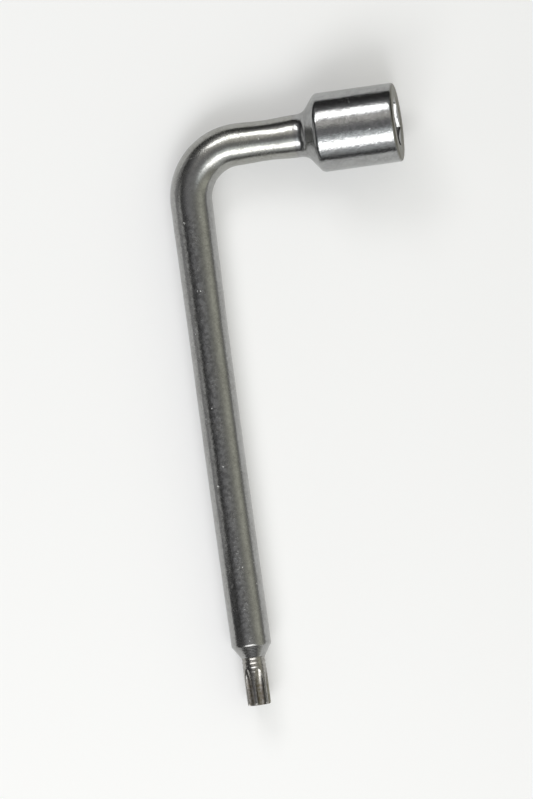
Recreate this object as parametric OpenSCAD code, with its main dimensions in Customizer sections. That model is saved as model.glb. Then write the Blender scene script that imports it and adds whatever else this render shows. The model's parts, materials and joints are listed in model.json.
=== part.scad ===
// L-shaped saw blade wrench: a bent round bar with a hex socket at one end and a star bit at the other.
// It lies as it does on a table: the bend and the long shank on the surface, and the socket on its shoulder.
// Lengths called reach run along an arm from the corner of the L, where the two centre lines cross.

/* [Bar] */
// Diameter of the long shank
bar_d = 9.5; // [9:0.1:9.8]
// Diameter of the bar at the bend, where hot bending has thickened it
bend_bar_d = 10; // [9.8:0.1:10.4]
// Diameter of the short arm at its waist
waist_d = 9.6; // [9.2:0.1:10]
// Radius of the bend, to the centre line of the bar
bend_r = 12.5; // [11:0.5:14]
// Reach of the stretch of shank that thickens towards the bend
taper_reach = 45; // [35:1:60]
// Reach of the waist of the short arm
waist_reach = 19.5; // [18:0.5:22]
// Reach of the end of the bar, where the star bit leaves it
nose_reach = 120.8; // [100:0.2:150]
// Diameter of the small end of the conical nose
nose_d = 5.8; // [5.7:0.1:6.4]
// Angle between the nose's cone and the shank's axis
nose_angle = 33; // [25:1:45]
// Rounding of the shoulder between shank and nose
nose_round_r = 1.2; // [0.5:0.1:2]

/* [Socket] */
// Outside diameter of the socket
socket_d = 18.8; // [18:0.1:22]
// Reach of the seam between bar and socket
seam_reach = 27.1; // [26:0.1:28]
// Reach of the socket's mouth
mouth_reach = 51.4; // [51:0.2:60]
// Diameter of bar and socket at the seam
seam_d = 10.2; // [10:0.1:10.6]
// Length of the plain collar between seam and flare
collar_len = 0.5; // [0.5:0.1:1.5]
// Angle between the flare's cone and the socket's axis
flare_angle = 52; // [45:1:65]
// Hollow rounding at the foot of the flare
foot_r = 3; // [1:0.1:3.5]
// Rounding of the socket's shoulder
shoulder_r = 1.6; // [0.5:0.1:2]
// Rounding of the mouth's outer edge
mouth_r = 0.7; // [0.2:0.1:1]
// Width across the flats of the hex recess
hex_af = 10; // [8:0.5:12]
// Depth of the hex recess
hex_depth = 12; // [9:0.5:12.5]
// Turn of the hex from a corner pointing straight down
hex_turn = -10; // [-30:1:30]
// Length of the lead-in, where the flats of the recess taper out towards the mouth
lead_in_len = 1.2; // [0.8:0.1:2]
// Angle between the lead-in's flats and the socket's axis
lead_in_angle = 8; // [5:1:12]
// How far the countersink at the mouth reaches past the hex's corners
countersink_margin = 0.4; // [0.2:0.1:0.8]

/* [Socket joint] */
// Diameter of the spigot on the bar that the socket sits on
spigot_d = 8; // [6:0.1:8.4]
// Length of the spigot
spigot_len = 6; // [4:0.5:6]
// Gap for the filler round the spigot, on the radius
braze_gap = 0.05; // [0.02:0.01:0.1]
// Width of the groove at the seam
groove_w = 0.6; // [0.4:0.1:1]
// Depth of the hollow in the filler's surface
filler_dip = 0.05; // [0.02:0.01:0.15]

/* [Star bit] */
// Length of the star bit outside the bar
bit_len = 11.5; // [11.2:0.1:14]
// Diameter over the lobes, and of the neck
star_d = 5.6; // [5.4:0.05:5.7]
// Diameter over the bottoms of the flutes
star_root_d = 3.95; // [3.8:0.05:4.2]
// Radius of a flute's hollow section
flute_r = 1.19; // [1:0.01:1.3]
// Length of the flutes at full depth
flute_len = 3.6; // [3:0.1:5]
// Radius of the curve on which a flute runs out towards the neck
run_out_r = 18; // [10:0.5:20]
// Chamfer round the tip
tip_chamfer = 0.4; // [0.2:0.1:0.6]
// Turn of the flutes from straight up, towards the socket's side
star_turn = 23; // [0:1:59]
// Width across the flats of the hidden stem
stem_af = 4.4; // [3.5:0.1:4.6]
// Length of the hidden stem
stem_len = 10; // [6:0.5:14]

/* [Hidden] */
$fn = 96;
lobes = 6;
arc_steps = 8;
steel = [0.66, 0.67, 0.66];
filler = [0.62, 0.62, 0.6];
bit_steel = [0.58, 0.57, 0.54];

bar_r = bar_d / 2;
bend_bar_r = bend_bar_d / 2;
seam_r = seam_d / 2;
socket_r = socket_d / 2;
spigot_r = spigot_d / 2;
star_r = star_d / 2;
groove_depth = groove_w / 2;
spigot_chamfer = 0.5;
cut_over = 1;

// The nose: reach at which the shoulder's rounding leaves the shank's full diameter
nose_drop = bar_r - nose_round_r * (1 - cos(nose_angle)) - nose_d / 2;
nose_start = nose_reach - nose_drop / tan(nose_angle) - nose_round_r * sin(nose_angle);

// The flare: hollow foot, straight cone, round shoulder
flare_round = foot_r + shoulder_r;
flare_line = (socket_r - seam_r - flare_round * (1 - cos(flare_angle))) / sin(flare_angle);
flare_start = seam_reach + collar_len;
flare_end = flare_start + flare_round * sin(flare_angle) + flare_line * cos(flare_angle);

// The recess: the lead-in's gain in width, the drill point at the bottom, and the countersink at the mouth
drill_margin = 0.2;
drill_point = 118;
countersink_point = 120;
lead_in_rise = 2 * tan(lead_in_angle);
drill_r = hex_af / 2 - drill_margin;
drill_len = drill_r / tan(drill_point / 2);
countersink_slope = tan(countersink_point / 2);
countersink_r = hex_af / 2 / cos(30) + countersink_margin;
countersink_len = (countersink_r - drill_r) / countersink_slope;

// The bit: its tip, where the full depth of the flutes starts, how far out their cutter's centre runs,
// and the cutter's swing clear of the neck
run_out_clear = 0.5;
tip_reach = nose_reach + bit_len;
flute_start = tip_reach - flute_len;
flute_centre_r = star_root_d / 2 + flute_r;
run_out_angle = acos(1 - (star_r - star_root_d / 2 + run_out_clear) / run_out_r);

// Lying on a table: the short arm tilts up until the socket's shoulder touches the surface under the shank
shoulder_centre_r = socket_r - shoulder_r;
shoulder_span = norm([flare_end, shoulder_centre_r]);
lay_tilt = atan2(shoulder_centre_r, flare_end) - asin((bend_bar_r - shoulder_r) / shoulder_span);
mouth_x = (mouth_reach - mouth_r) * cos(lay_tilt) + (socket_r - mouth_r) * sin(lay_tilt) + mouth_r;
centre_x = (mouth_x - bend_bar_r) / 2;
centre_y = (socket_r - tip_reach) / 2;

// Points along an arc, from one angle to another
function arc(centre, radius, from, to) =
    [for (i = [0:arc_steps]) centre + radius * [cos(from + (to - from) * i / arc_steps),
                                                sin(from + (to - from) * i / arc_steps)]];

// Puts the L on the table, with the origin under the middle of its box
module lay_down() {
    translate([-centre_x, -centre_y, bend_bar_r])
        rotate([0, -lay_tilt, 0])
            children();
}

// Turns a shape built along +Z to run along the short arm, +X
module along_arm() {
    rotate([0, 90, 0])
        children();
}

// Turns a shape built along +Z to run along the long shank, -Y
module along_shank() {
    rotate([90, 0, 0])
        children();
}

// A hexagonal bar along +Z, given its width across flats at its start and at its end
module hex_bar(len, start_af, end_af) {
    cylinder(h = len, d1 = start_af / cos(30), d2 = end_af / cos(30), $fn = 6);
}

// The bar's long leg: thickened at the bend, plain along the shank, and coned at the nose
module long_leg() {
    along_shank()
        rotate_extrude()
            polygon(concat(
                [[0, bend_r], [bend_bar_r, bend_r], [bar_r, taper_reach]],
                arc([bar_r - nose_round_r, nose_start], nose_round_r, 0, nose_angle),
                [[nose_d / 2, nose_reach], [0, nose_reach]]));
}

// The bar's quarter bend
module bend() {
    translate([bend_r, -bend_r, 0])
        rotate([0, 0, 90])
            rotate_extrude(angle = 90)
                translate([bend_r, 0])
                    circle(r = bend_bar_r);
}

// The bar's short leg: waist, grooved end and the spigot that goes into the socket
module short_leg() {
    along_arm()
        rotate_extrude()
            polygon([
                [0, bend_r],
                [bend_bar_r, bend_r],
                [waist_d / 2, waist_reach],
                [seam_r, seam_reach - groove_depth],
                [seam_r - groove_depth, seam_reach],
                [spigot_r, seam_reach],
                [spigot_r, seam_reach + spigot_len - spigot_chamfer],
                [spigot_r - spigot_chamfer, seam_reach + spigot_len],
                [0, seam_reach + spigot_len]]);
}

// Hexagonal hole in the nose that holds the bit's stem
module stem_hole() {
    along_shank()
        translate([0, 0, nose_reach - stem_len])
            hex_bar(stem_len + cut_over, stem_af, stem_af);
}

// Bent round bar of the wrench, in one piece from the nose to the spigot
module shank() {
    color(steel)
        lay_down()
            difference() {
                union() {
                    long_leg();
                    bend();
                    short_leg();
                }
                stem_hole();
            }
}

// Outside of the socket: collar, flare and thick-walled barrel
module socket_outside() {
    rotate_extrude()
        polygon(concat(
            [[0, seam_reach], [seam_r - groove_depth, seam_reach], [seam_r, seam_reach + groove_depth]],
            arc([seam_r + foot_r, flare_start], foot_r, 180, 180 - flare_angle),
            arc([shoulder_centre_r, flare_end], shoulder_r, -flare_angle, 0),
            arc([socket_r - mouth_r, mouth_reach - mouth_r], mouth_r, 0, 90),
            [[0, mouth_reach]]));
}

// Hex recess with its tapered lead-in, countersunk mouth and drill point
module recess() {
    rotate([0, 0, hex_turn]) {
        translate([0, 0, mouth_reach - hex_depth])
            hex_bar(hex_depth, hex_af, hex_af);
        translate([0, 0, mouth_reach - lead_in_len])
            hex_bar(lead_in_len + cut_over, hex_af, hex_af + (lead_in_len + cut_over) * lead_in_rise);
    }
    translate([0, 0, mouth_reach - countersink_len])
        cylinder(h = countersink_len + cut_over, r1 = drill_r, r2 = countersink_r + cut_over * countersink_slope);
    translate([0, 0, mouth_reach - hex_depth - drill_len])
        cylinder(h = drill_len, r1 = 0, r2 = drill_r);
}

// Blind rear bore that sits on the bar's spigot, with filler all round and past its end
module spigot_bore() {
    translate([0, 0, seam_reach - cut_over])
        cylinder(h = spigot_len + braze_gap + cut_over, r = spigot_r + braze_gap);
}

// Hex socket with its flare
module socket_head() {
    color(steel)
        lay_down()
            along_arm()
                difference() {
                    socket_outside();
                    recess();
                    spigot_bore();
                }
}

// Ring of filler in the groove of the seam, a little hollow
module braze_ring() {
    color(filler)
        lay_down()
            along_arm()
                rotate_extrude()
                    polygon([
                        [seam_r - groove_depth, seam_reach],
                        [seam_r, seam_reach - groove_depth],
                        [seam_r - filler_dip, seam_reach],
                        [seam_r, seam_reach + groove_depth]]);
}

// Cutter for one flute: straight from the tip, then swinging outwards to run out on the neck
module flute() {
    translate([flute_centre_r, 0, flute_start])
        cylinder(h = flute_len + cut_over, r = flute_r);
    translate([flute_centre_r + run_out_r, 0, flute_start])
        rotate([90, 0, 0])
            rotate([0, 0, 180])
                rotate_extrude(angle = run_out_angle)
                    translate([run_out_r, 0])
                        circle(r = flute_r);
}

// Six-lobe bit with a round neck and a hidden stem
module star_bit() {
    color(bit_steel)
        lay_down()
            along_shank() {
                difference() {
                    rotate_extrude()
                        polygon([
                            [0, nose_reach],
                            [star_r, nose_reach],
                            [star_r, tip_reach - tip_chamfer],
                            [star_r - tip_chamfer, tip_reach],
                            [0, tip_reach]]);
                    for (i = [0:lobes - 1])
                        rotate([0, 0, 90 - star_turn + i * 360 / lobes])
                            flute();
                }
                translate([0, 0, nose_reach - stem_len])
                    hex_bar(stem_len, stem_af, stem_af);
            }
}

shank();
socket_head();
braze_ring();
star_bit();
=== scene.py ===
import json
import math

import bpy
import numpy as np
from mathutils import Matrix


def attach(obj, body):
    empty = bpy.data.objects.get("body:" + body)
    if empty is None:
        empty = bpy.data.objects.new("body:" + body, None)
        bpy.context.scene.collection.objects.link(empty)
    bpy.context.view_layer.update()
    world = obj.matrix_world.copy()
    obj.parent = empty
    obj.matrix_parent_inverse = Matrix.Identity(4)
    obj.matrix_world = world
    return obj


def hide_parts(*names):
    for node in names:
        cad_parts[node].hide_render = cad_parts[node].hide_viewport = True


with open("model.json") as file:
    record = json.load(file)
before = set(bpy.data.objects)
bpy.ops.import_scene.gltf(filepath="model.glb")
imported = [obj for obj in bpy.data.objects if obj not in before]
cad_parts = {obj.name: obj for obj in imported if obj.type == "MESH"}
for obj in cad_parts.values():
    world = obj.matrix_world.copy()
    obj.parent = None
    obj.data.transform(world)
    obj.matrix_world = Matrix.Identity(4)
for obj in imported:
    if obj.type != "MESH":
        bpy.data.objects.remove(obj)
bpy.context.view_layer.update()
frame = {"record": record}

# Bar: round steel bar, bent hot to an L and plated bright over a skin that rolls and dies left finely pitted.
# Its long end is turned to a cone with a hexagonal hole for the bit, its short end to a spigot.
# The socket is brazed on that spigot, and the bevelled shoulder behind it is half of the seam's groove.
mm = 0.001
mount = {entry["name"]: entry for entry in frame["record"]["mounts"]}
tip_end = np.array(mount["star_tip"]["pos_m"])
mouth_centre = np.array(mount["hex_socket"]["pos_m"])
shank_way = np.array(mount["star_tip"]["axis"])
arm_way = np.array(mount["hex_socket"]["axis"])
arm_way = arm_way / np.linalg.norm(arm_way)
over_way = np.cross(shank_way, arm_way)

# A reach is a distance from the corner, where the middle lines of shank and arm would meet.
mouth_reach = (mouth_centre - tip_end)[0] / arm_way[0]
corner = mouth_centre - mouth_reach * arm_way
tip_reach = (tip_end - corner) @ shank_way
taper_reach = 45 * mm
waist_reach = 19.5 * mm
nose_reach = 120.8 * mm
seam_reach = 27.1 * mm

bar_r = mount["shank_grip"]["dims"]["r_mm"] * mm
bend_bar_r = 5.0 * mm
waist_r = 4.8 * mm
bend_r = 12.5 * mm
bow = 0.2 * mm
nose_r = 2.9 * mm
nose_angle = math.radians(33)
nose_round_r = 1.2 * mm
nose_edge_r = 0.15 * mm
turning_pitch = 0.38 * mm
turning_depth = 0.006 * mm
seam_r = 5.1 * mm
groove_depth = 0.3 * mm
spigot_r = 4.0 * mm
spigot_len = 6 * mm
spigot_chamfer = 0.5 * mm
stem_af = 4.4 * mm
stem_len = 10 * mm
stem_corner = 0
bar_sides = 192
ring_step = 0.6 * mm
nose_edge_steps, cone_steps, nose_round_steps = 5, 44, 13

# Along the bar, stations are counted from the nose.
bend_start = nose_reach - bend_r
bend_end = bend_start + bend_r * math.pi / 2
waist_along = bend_end + waist_reach - bend_r
seam_along = bend_end + seam_reach - bend_r
groove_along = seam_along - groove_depth
spigot_end = seam_along + spigot_len
nose_drop = bar_r - nose_round_r * (1 - math.cos(nose_angle)) - nose_r
nose_len = nose_drop / math.tan(nose_angle) + nose_round_r * math.sin(nose_angle)


def arc(centre, radius, start, end, count):
    """Points of a circle's arc from one angle to another, as (along, out): the centre plus the radius
    times the cosine of the angle along and the sine of it out."""
    angles = np.linspace(start, end, count)
    return np.stack([centre[0] + radius * np.cos(angles), centre[1] + radius * np.sin(angles)], 1)


def half_wave(where, start, end, low, high):
    """Runs from low at start to high at end along half a cosine wave, level at both ends."""
    share = np.clip((where - start) / (end - start), 0, 1)
    return low + (high - low) * (1 - np.cos(math.pi * share)) / 2


cone_turn = math.pi / 2 + nose_angle
edge_centre = (nose_edge_r * math.sin(nose_angle), nose_r - nose_edge_r)
nose_edge = arc(edge_centre, nose_edge_r, math.pi, cone_turn, nose_edge_steps)
nose_round = arc((nose_len, bar_r - nose_round_r), nose_round_r, cone_turn, math.pi / 2, nose_round_steps)
cone_along = np.linspace(nose_edge[-1, 0], nose_round[0, 0], cone_steps)[1:-1]
cone_r = nose_edge[-1, 1] + (cone_along - nose_edge[-1, 0]) * math.tan(nose_angle)
cone_r = cone_r - turning_depth * (1 + np.sin(2 * math.pi * cone_along / turning_pitch))
plain = np.arange(nose_len + ring_step, groove_along, ring_step)
plain_r = np.select(
    [plain < bend_end, plain < waist_along],
    [np.interp(nose_reach - plain, [bend_r, taper_reach], [bend_bar_r, bar_r]),
     half_wave(plain, bend_end, waist_along, bend_bar_r, waist_r)],
    half_wave(plain, waist_along, groove_along, waist_r, seam_r))
outline = np.concatenate([
    nose_edge,
    np.stack([cone_along, cone_r], 1),
    nose_round,
    np.stack([plain, plain_r], 1),
    [[groove_along, seam_r], [seam_along, seam_r - groove_depth], [seam_along, spigot_r]],
    [[spigot_end - spigot_chamfer, spigot_r], [spigot_end, spigot_r - spigot_chamfer], [spigot_end, 0]]])


def ring_angles(sides):
    """The angle of each point of a ring: equal parts of a full turn."""
    return np.arange(sides) * 2 * math.pi / sides


def hex_radius(af, angles, corner_angle):
    """Distance from a hexagon's middle to its edge at each angle: half the width across flats, divided by
    the cosine of the angle from the nearest flat's middle."""
    off_flat = np.mod(angles - corner_angle, math.pi / 3) - math.pi / 6
    return af / 2 / np.cos(off_flat)


# Each wave in the rolled skin: the length that one radian takes, turns round the bar, start and share.
ripple = 0.007 * mm
ripple_waves = ((1.05 * mm, 3, 0.0, 0.5), (0.66 * mm, -2, 1.3, 0.4), (1.7 * mm, 1, 0.4, 0.6))


def rolled_ripple(along, angles):
    """Depth of the ripples in the rolled skin: the sum of sine waves that wind round the bar, each lifted
    by its own height so that it only cuts in."""
    depth = np.zeros((len(along), len(angles)))
    for length, winds, start, share in ripple_waves:
        depth += share * (1 + np.sin(along[:, None] / length + winds * angles + start))
    return ripple * depth


bar_angles = ring_angles(bar_sides)
hole = hex_radius(stem_af, bar_angles, stem_corner)
bar_along = np.concatenate([[stem_len, stem_len, 0], outline[:, 0]])
bar_radii = np.concatenate([[0 * hole, hole, hole], np.tile(outline[:, 1:], (1, bar_sides))])
rolled = (bar_along > nose_len) & (bar_along < groove_along - groove_depth)
bar_radii = bar_radii - rolled[:, None] * rolled_ripple(bar_along, bar_angles)


def bar_path(along):
    """Middle line of the bar: straight up the shank from the nose, a quarter circle, then straight along
    the arm. Gives each station's middle and its way to the outside of the bend. From nose to bend the
    middle bows that way by half a sine wave."""
    up = np.minimum(along, bend_start)
    turn = np.clip((along - bend_start) / bend_r, 0, math.pi / 2)
    out = np.maximum(along - bend_end, 0)
    across = bend_r * (1 - np.cos(turn)) + out
    down = nose_reach - up - bend_r * np.sin(turn)
    outward = np.sin(turn)[:, None] * -shank_way - np.cos(turn)[:, None] * arm_way
    bowed = bow * np.sin(math.pi * np.clip(up / bend_start, 0, 1))
    middles = corner + across[:, None] * arm_way + down[:, None] * shank_way + bowed[:, None] * outward
    return middles, outward


def carry_rings(middles, first_way, second_way, along, radii):
    """Rings of points carried along a middle line: each middle, plus the point's radius times the cosine
    of its angle in the first way, plus the radius times the sine of it in the second way. Gives the
    points, and the places that they would have on the piece unbent."""
    angles = ring_angles(radii.shape[1])
    first, second = radii * np.cos(angles), radii * np.sin(angles)
    first_way = np.atleast_2d(first_way)[:, None]
    rings = middles[:, None] + first[..., None] * first_way + second[..., None] * second_way
    return rings, np.stack([first, second, np.broadcast_to(along[:, None], radii.shape)], -1)


def add_object(name, data):
    """A new object with this data, put into the scene."""
    made = bpy.data.objects.new(name, data)
    bpy.context.scene.collection.objects.link(made)
    return made


sharp_angle = math.radians(28)


def rings_to_mesh(name, rings, straight, ends="points", worn=None, painted_light_and_tint=None):
    """A skin over rings of points, one ring after another along the piece. Neighbouring rings are joined
    by quads, and each ring closes on itself. With ends "points" the first and last rings are single
    points, joined by triangles; with ends "joined" the last ring goes on to the first. straight holds
    each point's place on the piece if it were unbent, worn how deeply the skin is marked there, and
    painted_light_and_tint how strongly a laid-over tone lies there, mostly painted light and shade and
    partly grime, all kept as attributes that the finish follows."""
    count, sides = rings.shape[:2]
    side = np.arange(sides)
    after = (side + 1) % sides
    worn = np.ones((count, sides)) if worn is None else worn
    painted_light_and_tint = np.zeros((count, sides)) if painted_light_and_tint is None else painted_light_and_tint
    layers = np.concatenate([rings, straight, worn[..., None], painted_light_and_tint[..., None]], 2)
    columns = layers.shape[2]
    if ends == "joined":
        points = layers.reshape(-1, columns)
        ring = np.arange(count)[:, None] * sides
        next_ring = np.roll(ring, -1, 0)
        fans = []
    else:
        points = np.concatenate([layers[0, :1], layers[1:-1].reshape(-1, columns), layers[-1, :1]])
        ring = 1 + np.arange(count - 3)[:, None] * sides
        next_ring = ring + sides
        last = len(points) - 1
        start_fan = np.stack([np.zeros(sides, int), 1 + after, 1 + side], 1)
        end_fan = np.stack([last - sides + side, last - sides + after, np.full(sides, last)], 1)
        fans = start_fan.tolist() + end_fan.tolist()
    quads = np.stack([ring + side, ring + after, next_ring + after, next_ring + side], -1).reshape(-1, 4)
    mesh = bpy.data.meshes.new(name)
    mesh.from_pydata(points[:, :3].tolist(), [], quads.tolist() + fans)
    unbent = mesh.attributes.new("straight", "FLOAT_VECTOR", "POINT")
    unbent.data.foreach_set("vector", points[:, 3:6].ravel())
    mesh.attributes.new("worn", "FLOAT", "POINT").data.foreach_set("value", points[:, 6].copy())
    mesh.attributes.new("painted_light_and_tint", "FLOAT", "POINT").data.foreach_set("value", points[:, 7].copy())
    mesh.shade_smooth()
    mesh.set_sharp_from_angle(angle=sharp_angle)
    return add_object(name, mesh)


def add_node(tree, kind, inputs=None, **settings):
    """A new node with its settings, each input linked where a socket is given and set where a value is."""
    made = tree.nodes.new(kind)
    for key, value in settings.items():
        setattr(made, key, value)
    for key, value in (inputs or {}).items():
        if isinstance(value, bpy.types.NodeSocket):
            tree.links.new(value, made.inputs[key])
        else:
            made.inputs[key].default_value = value
    return made


def math_node(tree, operation, *terms):
    """The result of one operation on values or sockets, such as a sum or a product."""
    return add_node(tree, "ShaderNodeMath", dict(enumerate(terms)), operation=operation).outputs[0]


def spread_node(tree, value, low, high, new_low, new_high):
    """Maps a value from one range smoothly to another, held at both ends."""
    return add_node(tree, "ShaderNodeMapRange", {
        "Value": value, "From Min": low, "From Max": high, "To Min": new_low, "To Max": new_high,
    }, interpolation_type="SMOOTHSTEP").outputs["Result"]


# A Mix node has its sockets for colours behind those for numbers and vectors.
mix_first, mix_second, mix_result = 6, 7, 2


def mix_node(tree, share, first, second, kind="MIX"):
    """Two colours, the second mixed into the first by a share, or multiplied or added as kind says."""
    return add_node(tree, "ShaderNodeMix", {
        "Factor": share, mix_first: first, mix_second: second,
    }, data_type="RGBA", blend_type=kind).outputs[mix_result]


# Where the skin's noise and cells turn into pits, nicks, dull patches and flecks.
patches_per_metre = 170
nicks_per_metre = 380
pit_rim, pit_floor = 0.42, -0.3
nick_core, nick_rim = 0.04, 0.09
dull_from, dull_full = 0.85, 1.3
fleck_from, fleck_full = 0.42, 0.62


def pitted_skin():
    """The plated skin as a group: shallow dents, grain, fine pits and sparse nicks as a height, times how
    worn the skin is there, a mask of dull patches, a mask of dark flecks in the dents, and a mask of the
    nicks, which the finish paints lighter as bare metal with a painted glint. All of them are noise and
    cell patterns in the piece's unbent coordinates."""
    skin = bpy.data.node_groups.new("pitted skin", "ShaderNodeTree")
    skin.interface.new_socket("Place", in_out="INPUT", socket_type="NodeSocketVector")
    for name in ("Dents per metre", "Pits per metre", "Dent share", "Pit share", "Nick share", "Worn"):
        skin.interface.new_socket(name, in_out="INPUT", socket_type="NodeSocketFloat")
    for name in ("Height", "Dull", "Fleck", "Nick"):
        skin.interface.new_socket(name, in_out="OUTPUT", socket_type="NodeSocketFloat")
    given = skin.nodes.new("NodeGroupInput").outputs

    def noise(scale, detail, rough):
        """Soft noise with so many waves to the metre."""
        return add_node(skin, "ShaderNodeTexNoise", {
            "Vector": given["Place"], "Scale": scale, "Detail": detail, "Roughness": rough}).outputs[0]

    def cells(scale):
        """Distance to the nearest of points that are strewn so many to the metre."""
        return add_node(skin, "ShaderNodeTexVoronoi", {
            "Vector": given["Place"], "Scale": scale, "Randomness": 1.0}).outputs["Distance"]

    def times(first, second):
        """The product of two values."""
        return math_node(skin, "MULTIPLY", first, second)

    dents = noise(given["Dents per metre"], detail=2.0, rough=0.5)
    grain = noise(given["Pits per metre"], detail=2.0, rough=0.55)
    patch = noise(patches_per_metre, detail=3.0, rough=0.6)
    pit = spread_node(skin, cells(given["Pits per metre"]), 0.0, pit_rim, pit_floor, 0.0)
    blow = spread_node(skin, cells(nicks_per_metre), nick_core, nick_rim, 1.0, 0.0)
    nick = times(times(blow, given["Nick share"]), given["Worn"])
    relief = math_node(skin, "ADD", times(dents, given["Dent share"]), times(grain, given["Pit share"]))
    relief = math_node(skin, "ADD", relief, times(pit, given["Pit share"]))
    made = {
        "Height": math_node(skin, "SUBTRACT", times(relief, given["Worn"]), nick),
        "Dull": spread_node(skin, math_node(skin, "ADD", patch, grain), dull_from, dull_full, 0.0, 1.0),
        "Fleck": times(spread_node(skin, dents, fleck_from, fleck_full, 0.0, 1.0), given["Worn"]),
        "Nick": nick}
    result = skin.nodes.new("NodeGroupOutput")
    for name, value in made.items():
        skin.links.new(value, result.inputs[name])
    return skin


skin_group = pitted_skin()
fleck_tone = 0.4
# The nicks' lighter tone is partly bare metal and partly a painted glint.
nick_glint_tone = (0.85, 0.85, 0.83)


def cleared_tree(owner):
    """The node tree of a material or of the world, switched on and emptied."""
    owner.use_nodes = True
    owner.node_tree.nodes.clear()
    return owner.node_tree


def plated_finish(name, bright, dull, gloss, dents, pits, dent_share, pit_share, fleck_share, nick_share,
                  relief, light_and_tint_colour=None, light_and_tint_rough=0.0, light_and_tint_low=0.45):
    """Plated metal: the skin group sets the relief, the dull patches take a darker tone and a softer gloss,
    the flecks a darker tone still, and the nicks a lighter one, partly bare metal and partly a painted
    glint. dents and pits are counts to the metre, and gloss is the roughness of the bright and of the
    dull parts. Where a light_and_tint_colour is given, the piece's painted_light_and_tint attribute lays
    it over the metal as painted light and shade, partly grime and a dulled face, down to
    light_and_tint_low of it between the flecks, and adds light_and_tint_rough to the roughness."""
    made = bpy.data.materials.new(name)
    tree = cleared_tree(made)
    skin = add_node(tree, "ShaderNodeGroup", {
        "Place": add_node(tree, "ShaderNodeAttribute", attribute_name="straight").outputs["Vector"],
        "Worn": add_node(tree, "ShaderNodeAttribute", attribute_name="worn").outputs["Fac"],
        "Dents per metre": dents, "Pits per metre": pits,
        "Dent share": dent_share, "Pit share": pit_share, "Nick share": nick_share,
    }, node_tree=skin_group).outputs
    colour = mix_node(tree, skin["Dull"], (*bright, 1), (*dull, 1))
    fleck = math_node(tree, "MULTIPLY", skin["Fleck"], fleck_share)
    colour = mix_node(tree, fleck, colour, (*(fleck_tone * level for level in dull), 1))
    # Painted glint, partly bare metal: the nicks take a lighter tone.
    colour = mix_node(tree, skin["Nick"], colour, (*nick_glint_tone, 1))
    rough = spread_node(tree, skin["Dull"], 0.0, 1.0, *gloss)
    # The colour laid over here is mostly painted light and shade: a warm reflection, and shade on the mouth
    # and in the flutes, partly grime and a dulled face.
    if light_and_tint_colour:
        painted_light_and_tint = add_node(tree, "ShaderNodeAttribute", attribute_name="painted_light_and_tint").outputs["Fac"]
        between = spread_node(tree, skin["Fleck"], 0.0, 1.0, light_and_tint_low, 1.0)
        colour = mix_node(tree, math_node(tree, "MULTIPLY", painted_light_and_tint, between), colour, (*light_and_tint_colour, 1))
        rough = math_node(tree, "ADD", rough, math_node(tree, "MULTIPLY", painted_light_and_tint, light_and_tint_rough))
    raised = add_node(tree, "ShaderNodeBump", {"Height": skin["Height"], "Distance": relief})
    metal = add_node(tree, "ShaderNodeBsdfPrincipled", {
        "Base Color": colour, "Metallic": 1.0, "Roughness": rough, "Normal": raised.outputs[0]})
    add_node(tree, "ShaderNodeOutputMaterial", {"Surface": metal.outputs[0]})
    return made


# A stripe along the top of the shank is fully marked, and its flanks, the arm and the cone less so.
# A warm tint, rising round the bend and held along the arm, is a painted reflection of warm light.
stripe_turn = math.radians(81)
stripe_width = math.radians(23)
stripe_fade = 6 * mm
stripe_start, mark_start = 0.6 * nose_len, 0.4 * nose_len
flank_mark, arm_mark, cone_mark = 0.32, 0.28, 0.3
chrome_grey = (0.365, 0.365, 0.36)
chrome_dull = (0.29, 0.287, 0.28)
painted_warm_reflection = (0.42, 0.42, 0.31)
warm_reflection_share = 0.3

stripe = np.exp(-((bar_angles - stripe_turn) / stripe_width) ** 4)
stripe_share = half_wave(bar_along, stripe_start, nose_len + stripe_fade, 0, 1) * half_wave(
    bar_along, bend_start, bend_start - stripe_fade, 0, 1)
flank_worn = half_wave(bar_along, mark_start, nose_len, cone_mark, 1) * half_wave(
    bar_along, bend_start, bend_start - stripe_fade, arm_mark, flank_mark)
bar_worn = flank_worn[:, None] + ((1 - flank_worn) * stripe_share)[:, None] * stripe
# Painted warm reflection: its share rises round the bend and holds along the arm.
bar_warm_reflection = np.repeat(half_wave(bar_along, bend_start, bend_end, 0, warm_reflection_share)[:, None], bar_sides, 1)
bar_middles, bar_outward = bar_path(bar_along)
bar = rings_to_mesh(
    "bar", *carry_rings(bar_middles, bar_outward, over_way, bar_along, bar_radii),
    worn=bar_worn, painted_light_and_tint=bar_warm_reflection)
bar.data.materials.append(plated_finish(
    "plated bar", bright=chrome_grey, dull=chrome_dull, gloss=(0.19, 0.28), dents=1100, pits=2400,
    dent_share=0.45, pit_share=0.25, fleck_share=0.5, nick_share=0.9, relief=0.13 * mm, light_and_tint_colour=painted_warm_reflection))
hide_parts("shank")
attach(bar, "root")

# Socket: a steel head, turned and broached, that flares up to a thick barrel and is brazed on the spigot.
# Its six flats open in a short taper and a countersink, and the first drill left its point at the bottom.
# It is plated like the bar. The mouth's face, which keeps the turning tool's rings, and its countersink take
# a dark, rougher tone: painted shade of the floor they mirror, partly a dulled face.
socket_r = 9.4 * mm
collar_len = 0.5 * mm
flare_angle = math.radians(52)
foot_r = 3.0 * mm
shoulder_r = 1.6 * mm
mouth_r = 0.7 * mm
hex_af = 10 * mm
hex_depth = 12 * mm
hex_corner = math.radians(-10)
lead_in_len = 1.2 * mm
lead_in_angle = math.radians(8)
flats_start = 1.5 * mm
countersink_margin = 0.4 * mm
countersink_half_angle = math.radians(60)
drill_margin = 0.2 * mm
drill_half_angle = math.radians(59)
point_share = 0.98
braze_gap = 0.05 * mm
face_pitch = 0.32 * mm
face_depth = 0.005 * mm
socket_sides = 360
foot_steps, shoulder_steps, barrel_steps, mouth_steps, face_steps = 14, 12, 24, 9, 66
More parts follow.
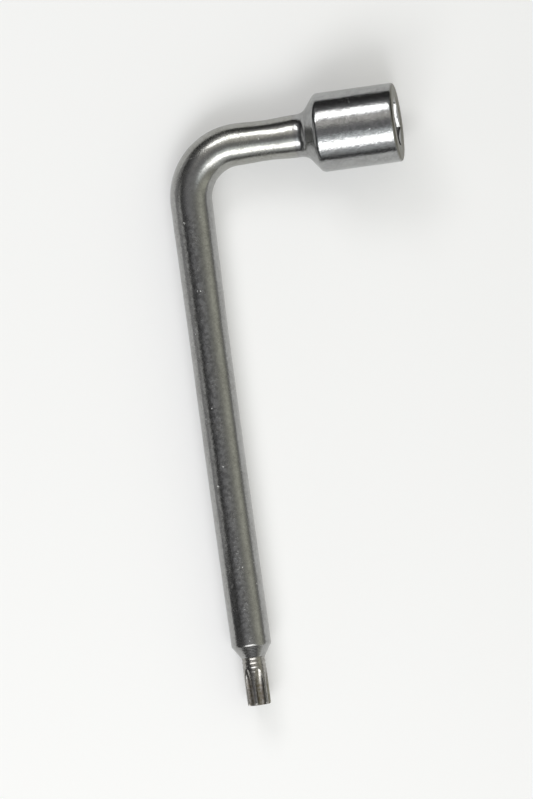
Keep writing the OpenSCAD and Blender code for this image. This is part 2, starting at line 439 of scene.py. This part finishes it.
lead_in_steps, flats_steps = 25, 12
socket_grey = (0.37, 0.374, 0.374)
socket_dull = (0.31, 0.31, 0.307)
lip_shade_grey = (0.15, 0.142, 0.112)

flare_round = foot_r + shoulder_r
flare_line = (socket_r - seam_r - flare_round * (1 - math.cos(flare_angle))) / math.sin(flare_angle)
flare_start = seam_reach + collar_len
flare_end = flare_start + flare_round * math.sin(flare_angle) + flare_line * math.cos(flare_angle)
flare_turn = math.pi / 2 + flare_angle
bore_r = spigot_r + braze_gap
bore_end = seam_reach + spigot_len + braze_gap
drill_r = hex_af / 2 - drill_margin
countersink_r = hex_af / 2 / math.cos(math.pi / 6) + countersink_margin
barrel = np.linspace(flare_end, mouth_reach - mouth_r, barrel_steps)[1:-1]
face_r = np.linspace(socket_r - mouth_r, countersink_r, face_steps)[1:-1]
face_dip = face_depth * (1 - np.cos(2 * math.pi * (face_r - countersink_r) / face_pitch)) / 2
outside = np.concatenate([
    [[bore_end, 0], [bore_end, bore_r], [seam_reach, bore_r]],
    [[seam_reach, seam_r - groove_depth], [seam_reach + groove_depth, seam_r]],
    arc((flare_start, seam_r + foot_r), foot_r, -math.pi / 2, flare_turn - math.pi, foot_steps),
    arc((flare_end, socket_r - shoulder_r), shoulder_r, flare_turn, math.pi / 2, shoulder_steps),
    np.stack([barrel, np.full(len(barrel), socket_r)], 1),
    arc((mouth_reach - mouth_r, socket_r - mouth_r), mouth_r, math.pi / 2, 0, mouth_steps),
    np.stack([mouth_reach - face_dip, face_r], 1)])

depth = np.concatenate([
    np.linspace(0, lead_in_len, lead_in_steps), np.linspace(flats_start, hex_depth, flats_steps)])
opening = np.maximum(lead_in_len - depth, 0) * math.tan(lead_in_angle)
flats = hex_radius(hex_af + 2 * opening[:, None], ring_angles(socket_sides), hex_corner)
countersink = countersink_r - depth * math.tan(countersink_half_angle)
bottom_reach = mouth_reach - hex_depth
point_reach = bottom_reach - drill_r / math.tan(drill_half_angle)
socket_along = np.concatenate([
    outside[:, 0], mouth_reach - depth, [bottom_reach, bottom_reach, point_reach]])
socket_radii = np.concatenate([
    np.tile(outside[:, 1:], (1, socket_sides)),
    np.maximum(flats, countersink[:, None]),
    np.tile([[drill_r], [point_share * drill_r], [0]], (1, socket_sides))])

# Painted shade, partly a dulled face: a dark tone on the mouth's face and countersink.
lip = half_wave(socket_along, mouth_reach - mouth_r, mouth_reach, 0, 1)
lip_shaded_and_dulled = lip[:, None] * half_wave(socket_radii, hex_af / 2, countersink_r, 0, 1)
socket_middles = corner + socket_along[:, None] * arm_way
socket = rings_to_mesh(
    "socket", *carry_rings(socket_middles, -over_way, -shank_way, socket_along, socket_radii),
    painted_light_and_tint=lip_shaded_and_dulled)
socket.data.materials.append(plated_finish(
    "plated socket", bright=socket_grey, dull=socket_dull, gloss=(0.11, 0.2), dents=700, pits=2600,
    dent_share=0.4, pit_share=0.3, fleck_share=0.2, nick_share=0.3, relief=0.08 * mm,
    light_and_tint_colour=lip_shade_grey, light_and_tint_rough=0.3, light_and_tint_low=0.9))
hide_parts("socket_head")
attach(socket, "root")

# Filler ring: the bead of brazing metal in the groove between bar and socket, drawn in hollow as it set.
# The bright plating runs over it from bar to socket, so the seam hardly shows.
filler_dip = 0.02 * mm
bead_steps = 9
filler_grey = (0.355, 0.355, 0.35)
filler_dull = (0.27, 0.267, 0.26)

bead_width = np.linspace(-1, 1, bead_steps)
bead = np.concatenate([
    np.stack([seam_reach + groove_depth * bead_width, seam_r - filler_dip * (1 - bead_width ** 2)], 1),
    [[seam_reach, seam_r - groove_depth]]])
filler_middles = corner + bead[:, :1] * arm_way
filler_radii = np.tile(bead[:, 1:], (1, bar_sides))
filler = rings_to_mesh(
    "filler_ring", *carry_rings(filler_middles, -over_way, -shank_way, bead[:, 0], filler_radii),
    ends="joined")
filler.data.materials.append(plated_finish(
    "plated filler", bright=filler_grey, dull=filler_dull, gloss=(0.14, 0.26), dents=1100, pits=2400,
    dent_share=0.45, pit_share=0.25, fleck_share=0.15, nick_share=0.0, relief=0.04 * mm))
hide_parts("braze_ring")
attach(filler, "root")

# Star bit: a hardened six-lobe tip with a round neck, plated, and held in the bar's nose by a hexagonal stem.
# The flutes are milled with a round cutter that swings out at the neck, so each ends in a long run-out.
# Turning left ridges round the neck, and the flutes are painted dark brown, more so deeper in and towards the
# tip: painted shade, partly brown grime.
star_r = 2.8 * mm
star_root_r = 1.975 * mm
star_turn = math.radians(23)
lobes = 6
lobe_blend = 0.12 * mm
flute_r = 1.19 * mm
flute_len = 3.6 * mm
run_out_r = 18 * mm
ridge_first = 0.15 * mm
ridge_pitch = 1.02 * mm
ridge_depth, last_ridge_depth = 0.13 * mm, 0.039 * mm
ridge_count = 4
tip_round_r = 0.5 * mm
tip_round_end = math.radians(10)
tip_face_shares = (0.7, 0.35, 0.0)
bit_sides = 288
neck_steps, tip_steps = 160, 10
bit_grey = (0.4, 0.392, 0.375)
bit_dull = (0.3, 0.285, 0.262)
flute_shade_and_grime = (0.19, 0.165, 0.135)
shade_and_grime_start, shade_and_grime_rise = 0.15 * mm, 0.4 * mm
shade_and_grime_top, shade_and_grime_full = 8 * mm, 4.5 * mm

neck_along = np.linspace(nose_reach, tip_reach - tip_round_r, neck_steps)
ridge_turn = (neck_along - nose_reach - ridge_first) / ridge_pitch
ridge_fade = half_wave(ridge_turn, 0, ridge_count, ridge_depth, last_ridge_depth) * (ridge_turn < ridge_count)
neck_r = star_r - ridge_fade * (1 - np.cos(2 * math.pi * ridge_turn)) / 2
tip_centre = (tip_reach - tip_round_r, star_r - tip_round_r)
tip_round = arc(tip_centre, tip_round_r, math.pi / 2, tip_round_end, tip_steps)[1:]
bit_outline = np.concatenate([np.stack([neck_along, neck_r], 1), tip_round])

# The cutter leaves the flute's full depth along a wide arc, and each flute is the near side of the cutter.
bit_angles = ring_angles(bit_sides)
lobe_angle = 2 * math.pi / lobes
off_flute = np.mod(bit_angles - (math.pi / 2 - star_turn) + lobe_angle / 2, lobe_angle) - lobe_angle / 2
before_full = np.clip(tip_reach - flute_len - bit_outline[:, 0], 0, run_out_r)
cutter_out = star_root_r + flute_r + run_out_r - np.sqrt(run_out_r ** 2 - before_full ** 2)
cutter_span = flute_r ** 2 - (cutter_out[:, None] * np.sin(off_flute)) ** 2
near_side = cutter_out[:, None] * np.cos(off_flute) - np.sqrt(np.maximum(cutter_span, 0))
flute = np.where(cutter_span > 0, near_side, 2 * star_r)
round_r = bit_outline[:, 1:]
star = (flute + round_r - np.sqrt((flute - round_r) ** 2 + lobe_blend ** 2)) / 2
stem = hex_radius(stem_af, bit_angles, stem_corner)
stem_along = [nose_reach - stem_len, nose_reach - stem_len, nose_reach]
tip_face_along = [tip_reach] * len(tip_face_shares)
bit_along = np.concatenate([stem_along, bit_outline[:, 0], tip_face_along])
bit_radii = np.concatenate([[0 * stem, stem, stem], star, np.outer(tip_face_shares, star[-1])])

# Painted shade in the flutes, partly brown grime: it grows with a flute's depth and towards the tip.
flute_depth = np.clip((round_r - star - shade_and_grime_start) / shade_and_grime_rise, 0, 1)
grimy_and_shaded = flute_depth * half_wave(bit_outline[:, :1], tip_reach - shade_and_grime_top, tip_reach - shade_and_grime_full, 0, 1)
bit_shade_and_grime = np.pad(grimy_and_shaded, ((len(stem_along), len(tip_face_along)), (0, 0)))
bit_middles = corner + bit_along[:, None] * shank_way
bit = rings_to_mesh(
    "star_tip_bit", *carry_rings(bit_middles, arm_way, over_way, bit_along, bit_radii), painted_light_and_tint=bit_shade_and_grime)
bit.data.materials.append(plated_finish(
    "bit steel", bright=bit_grey, dull=bit_dull, gloss=(0.16, 0.3), dents=1500, pits=3500, dent_share=0.5,
    pit_share=0.3, fleck_share=0.4, nick_share=0.0, relief=0.02 * mm, light_and_tint_colour=flute_shade_and_grime, light_and_tint_rough=0.2))
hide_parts("star_bit")
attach(bit, "root")

# Stage: a plain pale floor, two wide soft panels that face each other across the wrench, and a dim room.
# Dark cards stand round it outside the picture, as a photographer sets them, for the bright metal to mirror.
# The camera looks straight down at the wrench, turned by the angle between the picture and the shank.
floor_half = 3.0
floor_colour = (0.8, 0.8, 0.8)
floor_glow = 0.17
panel_distance = 0.55
room_strength = 1.13
picture_tall_px = 799
px_per_mm = 4.22
picture_turn = math.radians(7.737)
picture_middle = np.array([-12.2, 0.65]) * mm
camera_height = 2.0
sensor = 36.0

floor_corners = floor_half * np.array([(-1, -1, 0), (1, -1, 0), (1, 1, 0), (-1, 1, 0)])
floor_mesh = bpy.data.meshes.new("floor")
floor_mesh.from_pydata(floor_corners.tolist(), [], [(0, 1, 2, 3)])
floor = add_object("floor", floor_mesh)
pale = bpy.data.materials.new("pale floor")
pale_tree = cleared_tree(pale)
path = add_node(pale_tree, "ShaderNodeLightPath").outputs
mirrored = math_node(pale_tree, "MAXIMUM", path["Is Glossy Ray"], path["Is Transmission Ray"])
seen = math_node(pale_tree, "MAXIMUM", path["Is Camera Ray"], mirrored)
matt = add_node(pale_tree, "ShaderNodeBsdfDiffuse", {"Color": (*floor_colour, 1)})
glow = add_node(pale_tree, "ShaderNodeEmission", {
    "Color": (1, 1, 1, 1), "Strength": math_node(pale_tree, "MULTIPLY", seen, floor_glow)})
both = add_node(pale_tree, "ShaderNodeAddShader", {0: matt.outputs[0], 1: glow.outputs[0]})
add_node(pale_tree, "ShaderNodeOutputMaterial", {"Surface": both.outputs[0]})
floor_mesh.materials.append(pale)


def dark_card(name, middle, half, height, tone):
    """A dark card that stands on the floor outside the picture, for the metal to mirror along the horizon.
    half is the way from its middle to one end. Its corners are both ends, on the floor and at its height."""
    ends = np.array(middle) + np.array([[-1], [1]]) * np.array(half)
    base = np.column_stack([ends, np.zeros(2)])
    mesh = bpy.data.meshes.new(name)
    mesh.from_pydata([*base.tolist(), *(base[::-1] + (0, 0, height)).tolist()], [], [(0, 1, 2, 3)])
    matter = bpy.data.materials.new(name)
    tree = cleared_tree(matter)
    shade = add_node(tree, "ShaderNodeEmission", {"Color": (tone, tone, tone, 1), "Strength": 1.0})
    add_node(tree, "ShaderNodeOutputMaterial", {"Surface": shade.outputs[0]})
    mesh.materials.append(matter)
    card = add_object(name, mesh)
    card.visible_camera = card.visible_diffuse = card.visible_shadow = False


dark_card("far card", middle=(0.0, 0.122), half=(0.3, 0.0), height=0.026, tone=0.05)
dark_card("near card", middle=(-0.0315, -0.15), half=(0.0535, 0.0), height=0.055, tone=0.1)
dark_card("right card", middle=(0.08, 0.0), half=(0.0, 0.14), height=0.018, tone=0.33)
dark_card("left card", middle=(-0.0758, 0.0315), half=(0.0092, 0.0685), height=0.018, tone=0.4)
dark_card("low left card", middle=(-0.105, -0.125), half=(0.0, 0.088), height=0.09, tone=0.1)
dark_card("corner card", middle=(-0.0775, 0.086), half=(0.029, 0.034), height=0.03, tone=0.04)
dark_card("back right card", middle=(0.11, 0.135), half=(0.0, 0.07), height=0.12, tone=0.09)


def soft_panel(name, side, lean, roll, across, width, height, watts):
    """A rectangular lamp that faces the short arm from the back or the front, as side is 1 or -1. lean is
    its angle from straight up and roll its further turn, both in degrees, and across is where its middle
    lies along the arm. It stands off by the panel distance times the sine of the lean, and above the arm
    by that distance times the cosine of it."""
    lamp = bpy.data.lights.new(name, "AREA")
    lamp.shape = "RECTANGLE"
    lamp.size = width
    lamp.size_y = height
    lamp.energy = watts
    panel = add_object(name, lamp)
    angle = math.radians(lean)
    out, up = panel_distance * math.sin(angle), panel_distance * math.cos(angle)
    panel.location = (across, corner[1] + side * out, corner[2] + up)
    panel.rotation_mode = "ZYX"
    panel.rotation_euler = (-side * angle, 0, math.radians(roll))
    panel.visible_camera = False


soft_panel("back panel", side=1, lean=45.4, roll=30, across=-0.17, width=0.32, height=0.161, watts=0.76)
soft_panel("front panel", side=-1, lean=41.8, roll=20, across=-0.1, width=0.47, height=0.239, watts=1.13)

room = bpy.data.worlds.new("room")
bpy.context.scene.world = room
room_tree = cleared_tree(room)
way = add_node(room_tree, "ShaderNodeSeparateXYZ", {
    "Vector": add_node(room_tree, "ShaderNodeTexCoord").outputs["Generated"]}).outputs


def room_ramp(axis, stops):
    """Light of the room along one axis, from -1 to 1, in straight lines between stops. Each stop is a place
    and a colour, or a place and a grey."""
    ramp = add_node(room_tree, "ShaderNodeValToRGB", {
        "Fac": math_node(room_tree, "MULTIPLY_ADD", way[axis], 0.5, 0.5)})
    elements = ramp.color_ramp.elements
    while len(elements) < len(stops):
        elements.new(0.5)
    for element, (where, colour) in zip(elements, stops):
        element.position = (where + 1) / 2
        element.color = (*np.broadcast_to(np.array(colour, float), 3), 1)
    return ramp.outputs[0]


# Left of the shank the room is dark above a pale strip, and right of it warm and pale.
# Both fade to the front and the back.
side_light = room_ramp("X", [
    (-1.0, 0.3), (-0.985, (0.5, 0.5, 0.49)), (-0.94, (0.53, 0.53, 0.52)), (-0.905, (0.45, 0.45, 0.44)),
    (-0.87, 0.1), (-0.8, 0.07), (-0.72, (0.09, 0.09, 0.092)), (-0.6, (0.16, 0.16, 0.165)),
    (-0.5, (0.21, 0.21, 0.217)), (-0.4, (0.25, 0.25, 0.258)), (-0.2, (0.275, 0.275, 0.28)),
    (0.0, (0.265, 0.265, 0.262)), (0.28, (0.265, 0.265, 0.252)), (0.41, (0.31, 0.31, 0.285)),
    (0.545, (0.42, 0.42, 0.37)), (0.7, (0.56, 0.56, 0.49)), (0.8, (0.63, 0.63, 0.54)),
    (0.88, (0.58, 0.58, 0.5)), (0.94, (0.45, 0.45, 0.39)), (0.98, (0.28, 0.28, 0.25)),
    (1.0, (0.25, 0.25, 0.22))])
side_fade = room_ramp("Y", [
    (-1.0, 0.3), (-0.95, 0.6), (-0.6, 1), (0.6, 1), (0.9, 0.5), (0.96, 0.3), (1.0, 0.13)])

# The front of the room is cool and the back warm, each only as wide as the arm and the socket mirror it.
front_light = room_ramp("Y", [
    (-1.0, 0.03), (-0.985, 0.08), (-0.94, (0.26, 0.27, 0.27)), (-0.87, (0.53, 0.55, 0.56)), (-0.725, 0.6),
    (-0.485, (0.66, 0.7, 0.71)), (-0.325, (0.7, 0.75, 0.76)), (-0.225, (0.27, 0.29, 0.3)), (-0.165, 0)])
front_span = room_ramp("X", [(-0.55, 0), (-0.36, 1), (0.3, 1), (0.5, 0)])
back_light = room_ramp("Y", [
    (0.115, 0), (0.245, (0.2, 0.19, 0.17)), (0.375, (0.5, 0.48, 0.44)), (0.51, (0.48, 0.46, 0.43)),
    (0.63, 0.3), (0.84, 0.15), (0.915, 0.1), (0.97, 0.02), (1.0, 0)])
back_span = room_ramp("X", [(-0.55, 0), (-0.36, 1), (0.36, 1), (0.55, 0)])

sides = mix_node(room_tree, 1.0, side_light, side_fade, "MULTIPLY")
front = mix_node(room_tree, 1.0, front_light, front_span, "MULTIPLY")
back = mix_node(room_tree, 1.0, back_light, back_span, "MULTIPLY")
front_and_back = mix_node(room_tree, 1.0, front, back, "ADD")
background = add_node(room_tree, "ShaderNodeBackground", {
    "Color": mix_node(room_tree, 1.0, sides, front_and_back, "ADD"), "Strength": room_strength})
add_node(room_tree, "ShaderNodeOutputWorld", {"Surface": background.outputs[0]})

camera_data = bpy.data.cameras.new("camera")
camera_data.sensor_width = sensor
camera_data.lens = sensor * (camera_height - corner[2]) / (picture_tall_px / px_per_mm * mm)
camera = add_object("camera", camera_data)
camera.location = (*picture_middle, camera_height)
camera.rotation_euler = (0, 0, -picture_turn)
bpy.context.scene.camera = camera
bpy.context.scene.view_settings.view_transform = "Standard"
